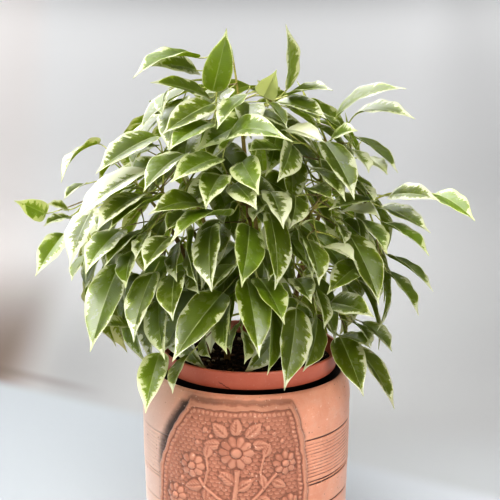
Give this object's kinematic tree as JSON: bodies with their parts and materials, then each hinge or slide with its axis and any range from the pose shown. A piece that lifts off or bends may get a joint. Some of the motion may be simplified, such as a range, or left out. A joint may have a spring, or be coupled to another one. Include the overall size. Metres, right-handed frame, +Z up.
{
  "type": "potted weeping fig",
  "caption": "Potted weeping fig with cream-edged leaves on thin woody stems, rooted in soil in a plastic nursery pot that stands in a relief-decorated terracotta pot.",
  "frame": {"origin": "centre of the outer pot's flat base", "axes": "+Z up, the plant's front and the pot's plaque face -Y, +X to the viewer's right"},
  "size_m": [0.324, 0.2552, 0.399],
  "materials": {
    "outer_pot": "unglazed orange-pink terracotta, smoked dark in its grooves",
    "nursery_pot": "red-brown moulded plastic with a soft gloss and fine scratches",
    "soil": "dark crumbly potting soil",
    "foliage": "waxy green leaves with jagged cream margins, on green-brown bark"
  },
  "bodies": {
    "root": {"outer_pot": "outer_pot", "nursery_pot": "nursery_pot", "soil": "soil", "leafy_stem_middle": "foliage", "leafy_stem_front_left": "foliage", "leafy_stem_front": "foliage", "leafy_stem_front_right": "foliage", "leafy_stem_right": "foliage", "leafy_stem_left": "foliage", "leafy_stem_back_left": "foliage", "leafy_stem_back": "foliage", "leafy_stem_back_right": "foliage"}
  },
  "joints": []
}
